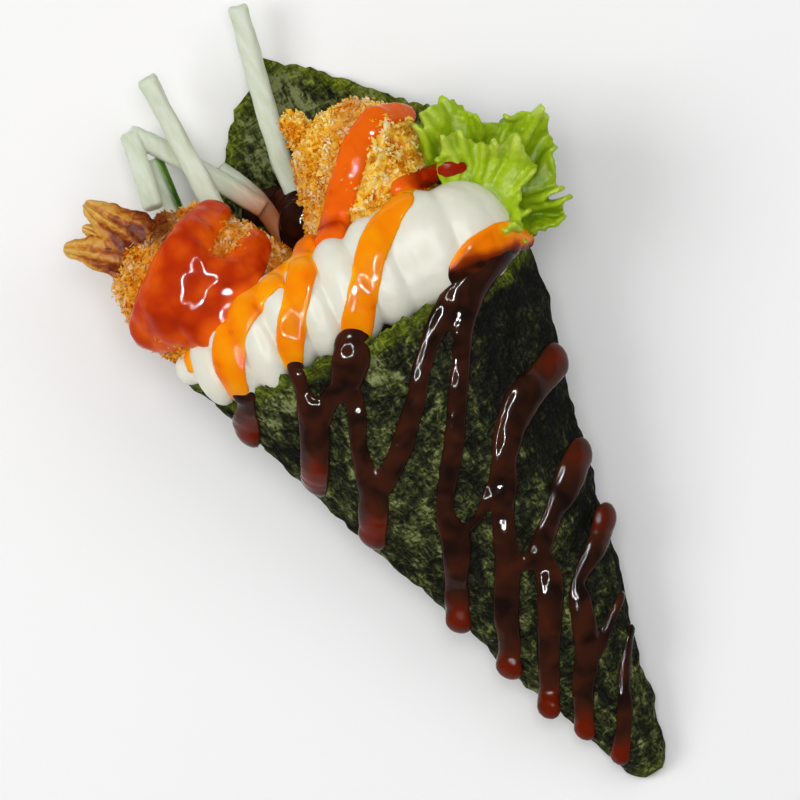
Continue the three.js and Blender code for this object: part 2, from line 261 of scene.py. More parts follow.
def smooth_route(points, steps):
    """Points on a Catmull-Rom curve through the rows of points, steps to each span."""
    rows = np.array(points, float)
    ends = np.vstack([2 * rows[0] - rows[1], rows, 2 * rows[-1] - rows[-2]])
    made = []
    for index in range(1, len(ends) - 2):
        before, start, end, after = ends[index - 1:index + 3]
        for step in range(steps):
            t = step / steps
            bend = 2 * before - 5 * start + 4 * end - after
            twist = 3 * start - before - 3 * end + after
            made.append(0.5 * (2 * start + (end - before) * t + bend * t ** 2 + twist * t ** 3))
    made.append(rows[-1])
    return np.array(made)


def sides_of(ahead):
    """Unit directions across and above a unit direction."""
    side = np.cross(ahead, (0, 0, 1))
    side /= np.linalg.norm(side)
    return side, np.cross(side, ahead)


def rough(point, size, seed=0.0):
    """Noise from about -1 to 1 with features of about size mm."""
    return noise.noise(Vector(point) / size + Vector((seed, -seed, seed)))


def rough_all(points, size, seed=0.0):
    return np.array([rough(point, size, seed) for point in points])


def ridged(point, size, seed=0.0):
    """Noise with sharp ridges where rough() crosses 0."""
    return 0.5 - 2 * abs(rough(point, size, seed))


# Meshes

def add_piece(name, vertices, faces, material, slot, smooth=True):
    mesh = bpy.data.meshes.new(name)
    placed = np.asarray(vertices, float) + np.array((0, TIP, 0))
    mesh.from_pydata((placed * MM).tolist(), [], faces)
    mesh.update()
    if smooth:
        mesh.shade_smooth()
    piece = bpy.data.objects.new(name, mesh)
    bpy.context.scene.collection.objects.link(piece)
    mesh.materials.append(material)
    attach(piece, BODY)
    return piece


def local(piece):
    """A piece's vertices in millimetres from the tip."""
    flat = np.empty(3 * len(piece.data.vertices))
    piece.data.vertices.foreach_get("co", flat)
    return flat.reshape(-1, 3) / MM - np.array((0, TIP, 0))


def set_local(piece, vertices):
    placed = (np.asarray(vertices) + np.array((0, TIP, 0))) * MM
    piece.data.vertices.foreach_set("co", placed.ravel())
    piece.data.update()


def paint(piece, name, values):
    """Give each vertex a value that the materials read by name."""
    attribute = piece.data.attributes.new(name, "FLOAT", "POINT")
    attribute.data.foreach_set("value", np.asarray(values, np.float32))


def normals_of(piece):
    flat = np.empty(3 * len(piece.data.vertices), np.float32)
    piece.data.vertices.foreach_get("normal", flat)
    return flat.reshape(-1, 3)


def push(piece, distances):
    """Move each vertex out along its normal."""
    set_local(piece, local(piece) + normals_of(piece) * np.reshape(distances, (-1, 1)))


def loft_faces(rows, columns):
    """Faces of a closed tube of rings, one ring to a row."""
    faces = []
    for row in range(rows - 1):
        for column in range(columns):
            after = (column + 1) % columns
            near = row * columns
            far = near + columns
            faces.append((near + column, near + after, far + after, far + column))
    faces.append(tuple(reversed(range(columns))))
    faces.append(tuple(range((rows - 1) * columns, rows * columns)))
    return faces


def joined(parts):
    """One list of vertices and one of faces from several pairs of them."""
    vertices = []
    faces = []
    for points, around in parts:
        start = len(vertices)
        vertices.extend(points)
        faces.extend(tuple(start + index for index in face) for face in around)
    return vertices, faces


def outward(piece):
    """Turn every face outward."""
    work = bmesh.new()
    work.from_mesh(piece.data)
    bmesh.ops.recalc_face_normals(work, faces=work.faces)
    work.to_mesh(piece.data)
    work.free()
    piece.data.update()


def remesh(piece, voxel, smoothing, factor=0.5):
    """Make the piece one skin with edges of about voxel mm, smoothed."""
    skin = piece.modifiers.new("skin", "REMESH")
    skin.mode = "VOXEL"
    skin.voxel_size = voxel * MM
    soften = piece.modifiers.new("soften", "SMOOTH")
    soften.factor = factor
    soften.iterations = smoothing
    graph = bpy.context.evaluated_depsgraph_get()
    made = bpy.data.meshes.new_from_object(piece.evaluated_get(graph))
    piece.modifiers.clear()
    old = piece.data
    material = old.materials[0]
    piece.data = made
    bpy.data.meshes.remove(old)
    made.name = piece.name
    made.materials.clear()
    made.materials.append(material)
    made.shade_smooth()


def unit_ball():
    """A unit ball's vertices and faces."""
    work = bmesh.new()
    bmesh.ops.create_icosphere(work, subdivisions=BALL_DETAIL, radius=1)
    vertices = np.array([vertex.co for vertex in work.verts])
    faces = np.array([[vertex.index for vertex in face.verts] for face in work.faces])
    work.free()
    return vertices, faces


def copies(corners, faces):
    """One list of vertices and one of faces for every copy in corners."""
    count, each = corners.shape[:2]
    starts = np.arange(count)[:, None, None] * each
    return corners.reshape(-1, 3), (faces[None] + starts).reshape(-1, faces.shape[1]).tolist()


def balls(name, shapes, material, slot):
    """One piece of many ellipsoids, each given by its middle and its 3 by 3 matrix."""
    unit, faces = unit_ball()
    corners = np.array([unit @ matrix.T + middle for middle, matrix in shapes])
    return add_piece(name, *copies(corners, faces), material, slot)


def tree_of(*pieces):
    """One search tree over the pieces, in millimetres from the tip."""
    parts = [(local(piece).tolist(), [face.vertices for face in piece.data.polygons])
             for piece in pieces]
    return BVHTree.FromPolygons(*joined(parts))


# Materials

def node_material(name, roughness, specular, subsurface=0.0, radius=(1, 1, 1), scale=1.0):
    material = bpy.data.materials.new(name)
    material.use_nodes = True
    shader = material.node_tree.nodes["Principled BSDF"]
    shader.inputs["Roughness"].default_value = roughness
    shader.inputs["Specular IOR Level"].default_value = specular
    shader.inputs["Subsurface Weight"].default_value = subsurface
    shader.inputs["Subsurface Radius"].default_value = radius
    shader.inputs["Subsurface Scale"].default_value = scale * MM
    return material, material.node_tree, shader


def add_noise(tree, size, detail=4, stretch=(1, 1, 1), turn=0, distortion=0.0):
    """Noise with features of about size mm."""
    places = tree.nodes.new("ShaderNodeTexCoord")
    mapping = tree.nodes.new("ShaderNodeMapping")
    mapping.inputs["Scale"].default_value = stretch
    mapping.inputs["Rotation"].default_value = (0, 0, math.radians(turn))
    texture = tree.nodes.new("ShaderNodeTexNoise")
    texture.inputs["Scale"].default_value = 1 / (size * MM)
    texture.inputs["Detail"].default_value = detail
    texture.inputs["Distortion"].default_value = distortion
    tree.links.new(places.outputs["Object"], mapping.inputs["Vector"])
    tree.links.new(mapping.outputs["Vector"], texture.inputs["Vector"])
    return texture.outputs["Fac"]


def add_ramp(tree, value, stops):
    ramp = tree.nodes.new("ShaderNodeValToRGB")
    elements = ramp.color_ramp.elements
    while len(elements) < len(stops):
        elements.new(0.5)
    for element, (position, colour) in zip(elements, stops):
        element.position = position
        element.color = colour
    tree.links.new(value, ramp.inputs["Fac"])
    return ramp.outputs["Color"]


def add_colours(tree, value, *stops):
    """A ramp through stops of position, red, green and blue."""
    return add_ramp(tree, value, [(position, linear(*colour)) for position, *colour in stops])


def add_mix(tree, share, first, second):
    mix = tree.nodes.new("ShaderNodeMix")
    mix.data_type = "RGBA"
    sockets = (mix.inputs[0], share), (mix.inputs[6], first), (mix.inputs[7], second)
    for socket, given in sockets:
        if isinstance(given, (int, float, tuple)):
            socket.default_value = given
        else:
            tree.links.new(given, socket)
    return mix.outputs[2]


def add_attribute(tree, name):
    node = tree.nodes.new("ShaderNodeAttribute")
    node.attribute_name = name
    return node.outputs["Fac"]


def add_sum(tree, *terms):
    """The sum of value times weight over the terms."""
    total = None
    for value, weight in terms:
        node = tree.nodes.new("ShaderNodeMath")
        node.operation = "MULTIPLY_ADD"
        tree.links.new(value, node.inputs[0])
        node.inputs[1].default_value = weight
        if total is None:
            node.inputs[2].default_value = 0
        else:
            tree.links.new(total, node.inputs[2])
        total = node.outputs[0]
    return total


def add_bump(tree, shader, height, depth, strength):
    bump = tree.nodes.new("ShaderNodeBump")
    bump.inputs["Distance"].default_value = depth * MM
    bump.inputs["Strength"].default_value = strength
    tree.links.new(height, bump.inputs["Height"])
    tree.links.new(bump.outputs["Normal"], shader.inputs["Normal"])


def nori_material():
    material, tree, shader = node_material("nori", roughness=0.6, specular=0.025)
    patches = add_noise(tree, 10, 3, distortion=0.5)
    folds = add_noise(tree, 4.2, 3, (1, 0.7, 1), 60, 1.0)
    grain = add_noise(tree, 1.3, 8, (1, 0.7, 1), 30, 1.6)
    strands = add_noise(tree, 1.7, 6, (0.3, 1, 1), -38, 2.2)
    fibres = add_noise(tree, 1.6, 6, (1, 0.3, 1), 12, 1.8)
    # painted_shade darkens the right side with painted shade and lightens the flap
    painted_shade = add_attribute(tree, "painted_shade")
    tone = add_sum(tree, (grain, 0.36), (strands, 0.26), (fibres, 0.28), (folds, 0.46),
                   (patches, 0.2), (painted_shade, -0.1))
    colour = add_colours(tree, tone, (0.685, 12, 13, 6), (0.76, 33, 37, 17), (0.81, 58, 64, 30),
                         (0.86, 88, 96, 48), (0.92, 138, 146, 96))
    # bright is painted light coming through the thin sheet at the rim and the tip, laid on by the
    # attribute edge
    bright = add_colours(tree, add_sum(tree, (grain, 0.6), (strands, 0.4)),
                         (0.34, 38, 50, 6), (0.5, 98, 112, 14), (0.64, 150, 162, 44))
    colour = add_mix(tree, add_attribute(tree, "edge"), colour, bright)
    roughness = add_ramp(tree, grain, [(0.35, grey(0.75)), (0.65, grey(0.45))])
    tree.links.new(colour, shader.inputs["Base Color"])
    tree.links.new(roughness, shader.inputs["Roughness"])
    add_bump(tree, shader, tone, depth=2.2, strength=1.0)
    return material


def crust_material():
    material, tree, shader = node_material("crust", roughness=0.6, specular=0.02)
    grain = add_noise(tree, 1.1, 6, distortion=0.6)
    # pale holds painted highlight and shade on the crust's lumps and hollows, and the crumbs' own
    # tints
    pale = add_attribute(tree, "pale")
    tone = add_sum(tree, (grain, 0.62), (add_noise(tree, 6, 3), 0.42), (pale, 0.3))
    colour = add_colours(tree, tone, (0.3, 204, 112, 4), (0.42, 238, 164, 22),
                         (0.53, 248, 198, 56), (0.66, 252, 218, 108), (0.82, 255, 240, 190))
    soaked = add_mix(tree, 0.75, colour, linear(200, 70, 2))
    colour = add_mix(tree, add_attribute(tree, "soaked"), colour, soaked)
    burnt = add_mix(tree, 0.9, colour, linear(112, 38, 10))
    colour = add_mix(tree, add_attribute(tree, "burnt"), colour, burnt)
    tree.links.new(colour, shader.inputs["Base Color"])
    add_bump(tree, shader, grain, depth=0.5, strength=0.8)
    return material


def tail_material():
    material, tree, shader = node_material(
        "prawn_tail", roughness=0.4, specular=0.05, subsurface=0.1, radius=(1, 0.5, 0.2))
    grain = add_noise(tree, 1.6, 5, distortion=1.0)
    tone = add_sum(tree, (grain, 0.6), (add_attribute(tree, "pale"), 0.5))
    colour = add_colours(tree, tone, (0.26, 96, 34, 12), (0.42, 156, 78, 22),
                         (0.56, 200, 136, 48), (0.8, 220, 178, 88))
    tree.links.new(colour, shader.inputs["Base Color"])
    add_bump(tree, shader, grain, depth=0.3, strength=0.6)
    return material


def mayonnaise_material():
    material, tree, shader = node_material(
        "mayonnaise", roughness=0.34, specular=0.08, subsurface=0.3, radius=(1, 0.9, 0.6),
        scale=1.6)
    clouds = add_noise(tree, 7, 2)
    colour = add_colours(tree, clouds, (0.3, 226, 225, 208), (0.7, 234, 233, 219))
    tree.links.new(colour, shader.inputs["Base Color"])
    add_bump(tree, shader, add_noise(tree, 3, 2), depth=0.12, strength=0.4)
    return material


def cucumber_material():
    material, tree, shader = node_material(
        "cucumber", roughness=0.35, specular=0.05, subsurface=0.25, radius=(0.8, 1, 0.6),
        scale=1.2)
    streaks = add_noise(tree, 1.2, 3, (1, 0.2, 1), -12)
    flesh = add_colours(tree, streaks, (0.3, 202, 213, 186), (0.7, 218, 225, 211))
    skin = add_colours(tree, streaks, (0.35, 50, 96, 10), (0.65, 110, 150, 40))
    colour = add_mix(tree, add_attribute(tree, "skin"), flesh, skin)
    stained = add_mix(tree, add_attribute(tree, "stain"), colour, linear(198, 96, 8))
    tree.links.new(stained, shader.inputs["Base Color"])
    add_bump(tree, shader, streaks, depth=0.2, strength=0.5)
    return material


def lettuce_material():
    material, tree, shader = node_material(
        "lettuce", roughness=0.3, specular=0.06, subsurface=0.15, radius=(0.5, 1, 0.2))
    blisters = add_noise(tree, 1.2, 4)
    veins = add_noise(tree, 3.2, 5, distortion=0.8)
    # edge carries painted light and shade: lighter at the rim and up high, darker in shade towards
    # the heart
    tone = add_sum(tree, (veins, 0.6), (add_attribute(tree, "edge"), 0.5))
    colour = add_colours(tree, tone, (0.24, 70, 100, 8), (0.4, 128, 160, 14),
                         (0.6, 164, 192, 30), (0.86, 196, 214, 84))
    tree.links.new(colour, shader.inputs["Base Color"])
    add_bump(tree, shader, blisters, depth=0.35, strength=0.7)
    return material


def sauce_material(name, *stops, cloudy=0.4):
    """A glossy sauce whose colour goes by the attribute tone, with clouds in it."""
    material, tree, shader = node_material(name, roughness=0.06, specular=0.09)
    clouds = add_noise(tree, 5, 1.5, distortion=0.5)
    tone = add_sum(tree, (add_attribute(tree, "tone"), TONE_WEIGHT), (clouds, cloudy))
    shifted = [(cloudy / 2 + TONE_WEIGHT * position, *colour) for position, *colour in stops]
    tree.links.new(add_colours(tree, tone, *shifted), shader.inputs["Base Color"])
    return material


# The seaweed wrap

def half_width_at(along):
    rounding = 1 - min(1, (along + TIP_BLUNTNESS) / TIP_ROUNDING)
    return (TIP_HALF_WIDTH + WIDENING * along) * math.sqrt(1 - rounding ** 2)


def wrinkles(place, along):
    """How far the sheet stands out from the smooth cone."""
    waves = 0.7 * rough(place, size=15, seed=1.7)
    folds = 0.8 * min(0, ridged(place * (1, 0.5, 1), size=8, seed=3.1))
    folds += 0.9 * rough(place * (0.6, 1, 1), size=4.2, seed=6.4)
    fine = 0.42 * rough(place, size=1.9, seed=5.3)
    return (waves + folds + fine) * min(1, 0.35 + along / 20)


def layer_step(along, degrees):
    """How far the sheet's outer layer lies above the inner one."""
    edge = LAYER_START - LAYER_WIND * along
    if degrees >= LAYER_END:
        return 0
    return LAYER_STEP * min(1, max(0, (degrees - edge) / LAYER_RISE))


def wrap_point(along, degrees, inset):
    half_width = half_width_at(along)
    half_height = FLATNESS * half_width
    reach = -inset if inset else layer_step(along, degrees)
    angle = math.radians(degrees)
    direction = np.array((math.cos(angle), 0, math.sin(angle)))
    middle = np.array((0, along, BED * half_height))
    place = middle + direction * (half_width + reach, 0, half_height + reach)
    place += direction * wrinkles(place, along)
    place[2] = max(place[2], inset)
    return place


def ragged_rim(degrees):
    """The rim's length from the tip at an angle round the cone."""
    at = Vector((math.cos(math.radians(degrees)), math.sin(math.radians(degrees)), 0))
    return stations(RIM, degrees) + sum(depth * noise.noise(at * rate) for depth, rate in RAGS)


def make_nori(material):
    angles = [360 * column / NORI_COLUMNS for column in range(NORI_COLUMNS)]
    rims = [ragged_rim(degrees) for degrees in angles]
    vertices = []
    from_rim = []
    for row in range(NORI_ROWS + NORI_INNER_ROWS):
        outer = row < NORI_ROWS
        share = row / (NORI_ROWS - 1) if outer else (row - NORI_ROWS) / (NORI_INNER_ROWS - 1)
        for degrees, rim in zip(angles, rims):
            along = rim * share if outer else rim + (POCKET_FLOOR - rim) * share
            vertices.append(wrap_point(along, degrees, 0 if outer else SHEET))
            from_rim.append(rim - along)
    faces = loft_faces(NORI_ROWS + NORI_INNER_ROWS, NORI_COLUMNS)
    piece = add_piece("seaweed", vertices, faces, material, "nori")
    outward(piece)
    paint_nori(piece, np.array(from_rim))
    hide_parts("nori_wrap")
    return piece


def paint_nori(piece, from_rim):
    """Bright at the rim and the tip, with painted light coming through the thin sheet there;
    painted shade makes it dark towards the right; lighter on the flap.
    """
    places = local(piece)
    # painted light coming through the thin sheet: a ragged bright band at the rim, and at the tip
    rim = fade(from_rim - 4 * rough_all(places, 2.2, 9), 3.96, 0.36)
    tip = 0.5 * fade(places[:, 1], 2.75, 0.25)
    flap = fade(places[:, 1], 112, 120)
    paint(piece, "edge", np.maximum(rim * 0.85, tip))
    # painted shade: darker towards the right, where the sheet turns away from the light; lighter on
    # the flap
    paint(piece, "painted_shade", fade(places[:, 0], 4, 18) * (1 - flap) - 0.6 * flap)


# Prawns

def crust_rings(route):
    """Vertices and faces of a smooth body along a route."""
    line = smooth_route(route, ROUTE_STEPS)
    vertices = []
    for row in range(CRUST_ROWS):
        share = (1 - math.cos(math.pi * (row + 0.5) / CRUST_ROWS)) / 2
        spot = share * (len(line) - 1)
        index = min(len(line) - 2, int(spot))
        ahead = line[index + 1, :3] - line[index, :3]
        middle = line[index, :3] + ahead * (spot - index)
        side, above = sides_of(ahead / np.linalg.norm(ahead))
        size = line[index, 3] * math.sqrt(1 - abs(2 * share - 1) ** CRUST_BLUNTNESS)
        for column in range(CRUST_COLUMNS):
            angle = 2 * math.pi * column / CRUST_COLUMNS
            vertices.append(middle + size * (math.cos(angle) * side + math.sin(angle) * above))
    return vertices, loft_faces(CRUST_ROWS, CRUST_COLUMNS)


def crust_relief(places):
    """Lumps, ridges and grain, in millimetres."""
    lumps = 1.2 * rough_all(places, size=6.5, seed=1) + 1.3 * rough_all(places, size=2.6, seed=4)
    ridges = np.array([0.5 * ridged(place, size=1.5, seed=8) for place in places])
    return lumps + ridges + 0.35 * rough_all(places, size=0.8, seed=3)


def make_crust(name, routes, material, node, soaked):
    vertices, faces = joined(crust_rings(route) for route in routes)
    piece = add_piece(name, vertices, faces, material, "crust")
    outward(piece)
    remesh(piece, VOXEL, smoothing=1)
    relief = crust_relief(local(piece))
    push(piece, relief - 0.1)
    places = local(piece)
    # painted highlight and shade: paler on the lumps, darker in the hollows between them
    paint(piece, "pale", np.clip(0.7 * relief, -0.5, 1))
    paint(piece, "soaked", [soaked(place) for place in places])
    paint(piece, "burnt", burnt(places))
    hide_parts(node)
    return piece


def burnt(places):
    """Dark round the end of the left prawn."""
    away = np.hypot(places[:, 0] - CHARRED[0], places[:, 1] - CHARRED[1])
    return fade(away, 5.7, 1.9)


def soaked_left(place):
    """How far the sauce has stained the left prawn."""
    x, along, _ = place
    middle_x, middle_along = SOAKED_LEFT
    near = math.exp(-((x - middle_x) ** 2 + (along - middle_along) ** 2) / 160)
    return min(1, 0.4 + 0.6 * near)


def soaked_right(place):
    """How far the stripe of sauce has stained the right prawn."""
    x, along, _ = place
    stripe = abs((x - 8) * 0.6 - (along - 128) * 0.55)
    left_side = 0.4 * max(0, min(1, (6 - x) / 4))
    return max(0, min(0.7, 0.6 - stripe / 6), left_side)


def make_crumbs(name, crust, material, count, soaked):
    """Jagged crumbs that stand on the crust where it shows."""
    places = local(crust)
    chosen = DRAW.choice(np.flatnonzero(places[:, 1] > CRUMBS_FROM), count)
    sizes = DRAW.uniform(CRUMB_LEAST, CRUMB_MOST, (count, 3))
    sizes *= 0.6 + 1.1 * DRAW.uniform(0, 1, (count, 1)) ** 3
    turns = np.linalg.qr(DRAW.normal(size=(count, 3, 3)))[0]
    corners = CRUMB[None] * DRAW.uniform(0.55, 1.3, (count, len(CRUMB), 1)) * sizes[:, None]
    corners = np.einsum("nij,nvj->nvi", turns, corners)
    rise = DRAW.uniform(0, 0.65, (count, 1))
    middles = places[chosen] + normals_of(crust)[chosen] * rise
    vertices, faces = copies(corners + middles[:, None], CRUMB_FACES)
    piece = add_piece(name, vertices, faces, material, "crust", smooth=False)
    tints = DRAW.uniform(-0.35, 0.75, count) + 1.2 * rough_all(middles, 3.5, 12)
    paint(piece, "pale", np.repeat(tints, len(CRUMB)))
    paint(piece, "soaked", np.repeat([soaked(middle) for middle in middles], len(CRUMB)))
    paint(piece, "burnt", np.repeat(burnt(middles), len(CRUMB)))


def fin_width(share, half, seed):
    """Half the fin's width: a narrow root, a full middle and a blunt, wavy end."""
    body = 0.55 + 0.45 * math.sin(math.pi * min(1, share * 1.15 + 0.1))
    root = min(1, (share * 6) ** 0.5)
    end = (1 - share ** 7) ** 0.5
    return half * body * root * end * (1 + 0.07 * math.sin(17 * share + seed))


def fin(tip, half, seed):
    """The vertices of one ridged fin, and how pale each is."""
    root = np.array(TAIL_ROOT)
    length = np.array(tip, float) - root
    side, above = sides_of(length / np.linalg.norm(length))
    vertices = []
    pale = []
    for row in range(FIN_ROWS):
        share = (row + 0.5) / FIN_ROWS
        width = fin_width(share, half, seed)
        arch = 0.8 * math.sin(math.pi * share) - 0.25 * seed
        middle = root + length * share + above * arch
        for column in range(FIN_COLUMNS):
            angle = 2 * math.pi * column / FIN_COLUMNS
            across = math.cos(angle)
            wave = across * 8 + seed + 1.6 * rough((share * 3, seed, across), 1)
            ridge = 0.34 * math.cos(wave) + 0.1 * math.cos(across * 21 + 3 * share)
            thick = (1.35 * (1 - 0.4 * share) + ridge) * math.sin(angle)
            lift = thick - 0.9 * across * across
            vertices.append(middle + side * width * across + above * lift)
            pale.append(share * 1.5 - 0.55 + 0.2 * math.cos(wave))
    return vertices, pale


def make_tail(material):
    """Ridged fins on the end of the left prawn."""
    fins = [fin(tip, half, seed) for seed, (tip, half) in enumerate(FINS, 1)]
    around = loft_faces(FIN_ROWS, FIN_COLUMNS)
    vertices, faces = joined((points, around) for points, _ in fins)
    piece = add_piece("prawn_tail", vertices, faces, material, "crust")
    outward(piece)
    push(piece, 0.3 * rough_all(local(piece), 1.4, 6))
    paint(piece, "pale", np.clip([value for _, pale in fins for value in pale], 0, 1))
    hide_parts("prawn_left")


# Cucumber

def make_cucumber(node, material):
    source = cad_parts[node]
    piece = bpy.data.objects.new(node + "_cut", source.data.copy())
    bpy.context.scene.collection.objects.link(piece)
    piece.data.materials.clear()
    piece.data.materials.append(material)
    remesh(piece, CUCUMBER_VOXEL, smoothing=4)
    places = local(piece)
    streaks = 0.2 * rough_all(places * (1, 0.3, 1), size=1.6, seed=3)
    push(piece, 0.22 + streaks + 0.25 * rough_all(places, size=8, seed=5))
    beyond_skin_line = places[:, 0] - stations(SKIN_LINE, places[:, 1])
    skinned = node == "cucumber_skin"
    paint(piece, "skin", np.clip(beyond_skin_line * 1.6 + 0.5, 0, 1) * skinned)
    paint(piece, "stain", fade(places[:, 1], 138, 129) * STAINS.get(node, 0))
    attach(piece, BODY)
    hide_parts(node)


# Mayonnaise

def make_mayonnaise(material):
    tilt = np.array(Matrix.Rotation(math.radians(MAYO_TILT), 3, "Z"))
    shapes = [(np.array(lobe[:3]), tilt @ np.diag(lobe[3:])) for lobe in MAYO_LOBES]
    piece = balls("piped_mayonnaise", shapes, material, "mayonnaise")
    remesh(piece, VOXEL, smoothing=12)
    push(piece, 0.15)
    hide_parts("mayonnaise")
    return piece


# Lettuce

def leaf_point(reach, share, height, size, seed):
    """A place on a sheet, at a reach from the heart and a share of the way round it."""
    first, last = LEAF_RADII[0][0], LEAF_RADII[-1][0]
    edge = reach ** 4
    wander = noise.noise(Vector((share * 5, seed, 0)))
    frill = 2 * math.pi * (FRILLS * share + 1.2 * wander) + seed
    curl = 2 * math.pi * (2.7 * FRILLS * share - 2 * wander)
    degrees = first + (last - first) * share + 2 * edge * math.cos(frill)
    radius = reach * size * stations(LEAF_RADII, degrees)
    radius += edge * (0.9 * math.sin(frill) + 0.5 * math.sin(curl))
    angle = math.radians(degrees)
    flat = Vector((radius * math.cos(angle), radius * math.sin(angle), 0))
    shift = Vector((seed, seed * 0.7, -seed))
    moved = flat + noise.noise_vector(flat / 8 + shift) * 3.4 * reach ** 2
    moved += noise.noise_vector(flat / 4 - shift) * 1.8 * reach
    lifted = height + 2.5 * reach ** 2 + moved.z
    lifted += edge * (2.7 * math.sin(frill + 1.3) + math.cos(curl))
    return LEAF_HEART[0] + moved.x, LEAF_HEART[1] + moved.y, lifted


def leaf_sheet(height, size, seed):
    """A grid of points whose rim is thrown into frills."""
    points = []
    for row in range(LEAF_ROWS):
        reach = 0.05 + 0.95 * row / (LEAF_ROWS - 1)
        for column in range(LEAF_COLUMNS):
            share = column / (LEAF_COLUMNS - 1)
            points.append(leaf_point(reach, share, height, size, seed))
    return np.array(points)


def thick_sheet(points, rows, columns, thickness):
    """A closed sheet of the given thickness about a grid of points."""
    grid = points.reshape(rows, columns, 3)
    facing = np.cross(np.gradient(grid, axis=0), np.gradient(grid, axis=1)).reshape(-1, 3)
    facing /= np.linalg.norm(facing, axis=1)[:, None] + 1e-9
    vertices = np.vstack([points + facing * thickness / 2, points - facing * thickness / 2])
    count = rows * columns
    faces = []
    for row in range(rows - 1):
        for column in range(columns - 1):
            near = row * columns + column
            far = near + columns
            faces.append((near, near + 1, far + 1, far))
            faces.append((count + near, count + far, count + far + 1, count + near + 1))
    border = list(range(columns))
    border += [row * columns + columns - 1 for row in range(1, rows)]
    border += [(rows - 1) * columns + column for column in range(columns - 2, -1, -1)]
    border += [row * columns for row in range(rows - 2, 0, -1)]
    for near, after in zip(border, border[1:] + border[:1]):
        faces.append((near, count + near, count + after, after))
    return vertices, faces


def make_lettuce(material):
    sheets = [thick_sheet(leaf_sheet(*sheet), LEAF_ROWS, LEAF_COLUMNS, LEAF_THICKNESS)
              for sheet in LEAF_SHEETS]
    piece = add_piece("lettuce_leaf", *joined(sheets), material, "lettuce")
    outward(piece)
    remesh(piece, LEAF_VOXEL, smoothing=5)
    places = local(piece)
    # painted light and shade: lighter towards the rim and higher up, darker towards the heart and
    # lower down, where the leaf lies in shade beside the prawn and the mayonnaise
    out = np.hypot(places[:, 0] - LEAF_HEART[0], places[:, 1] - LEAF_HEART[1]) / 21
    paint(piece, "edge", np.clip(0.45 * out ** 2 + 0.07 * (places[:, 2] - 28), -0.3, 1))
    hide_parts("lettuce")
    return piece


# Sauces

def seat(tree, x, along, spread):
    """The surface's place and normal below (x, along), averaged over spread to each side."""
    found = []
    for across, further in SEAT_OFFSETS:
        start = Vector((x + across * spread, along + further * spread, SEAT_ABOVE))
        place, normal, _, _ = tree.ray_cast(start, Vector((0, 0, -1)))
        if place is None:
            place, normal, _, _ = tree.find_nearest(Vector((x, along, SEAT_BESIDE)))
        if normal.z < 0:
            normal = -normal
        found.append((place, normal))
    height = sum(place.z for place, _ in found) / len(found)
    normal = sum((normal for _, normal in found), Vector()).normalized()
    return np.array((x, along, height)), normal


def stroke_shapes(stroke, tree, flatness, swell, spread):
    """Flat balls along a stroke, each lying on the surface below it."""
    line = smooth_route(stroke, STROKE_STEPS)
    steps = np.linalg.norm(np.diff(line[:, :2], axis=0), axis=1)
    travelled = np.concatenate([[0], np.cumsum(steps)])
    shapes = []
    at = 0.0
    while at <= travelled[-1]:
        x, along, radius = (np.interp(at, travelled, line[:, column]) for column in range(3))
        radius = (radius + swell) * (1 + 0.06 * rough((x, along, 3), size=3, seed=2))
        middle, normal = seat(tree, x, along, spread * radius)
        turn = np.array(normal.to_track_quat("Z", "Y").to_matrix())
        shapes.append((middle, turn @ np.diag((radius, radius, radius * flatness))))
        at += max(0.35, 0.25 * radius)
    return shapes


def make_sauce(name, strokes, tree, material, slot, flatness, tone_of,
               smoothing=6, swell=0.3, spread=0.5):
    shapes = []
    for stroke in strokes:
        shapes += stroke_shapes(stroke, tree, flatness, swell, spread)
    piece = balls(name, shapes, material, slot)
    remesh(piece, VOXEL, smoothing, factor=0.6)
    places = local(piece)
    places[:, 2] = np.maximum(places[:, 2], 0.1)
    set_local(piece, places)
    paint(piece, "tone", tone_of(places, tree))


def depths(places, tree):
    """How far each place lies from the surface below the sauce."""
    return np.array([tree.find_nearest(Vector(place))[3] for place in places])


def red_tone(places, tree):
    """From thick and brown to thin and orange."""
    band = fade(places[:, 0], 18, 23) * (places[:, 1] < 122)
    right = 0.35 * (places[:, 0] > -6)
    return np.clip(1 - depths(places, tree) / 3.6 + right, 0, 1) * (1 - band)


def orange_tone(places, tree):
    """From dark where the soy sauce runs into it, over orange, to thin and yellow."""
    thin = fade(depths(places, tree), 1.1, 0)
    across = (places[:, 0] - DARKENED[0]) * 0.25 + (places[:, 1] - DARKENED[1])
    dark = fade(across, 4.16, 1.56) * (places[:, 0] > 12)
    return (0.5 + 0.5 * thin) * (1 - dark)


def dark_tone(places, _):
    """Redder at the drips' ends, where light comes through."""
    away = np.linalg.norm(places[:, None, :2] - np.array(DARK_ENDS)[None], axis=2).min(1)
    return np.exp(-(away / 3.4) ** 2) * np.where(places[:, 0] > 5, 0.55, 1)


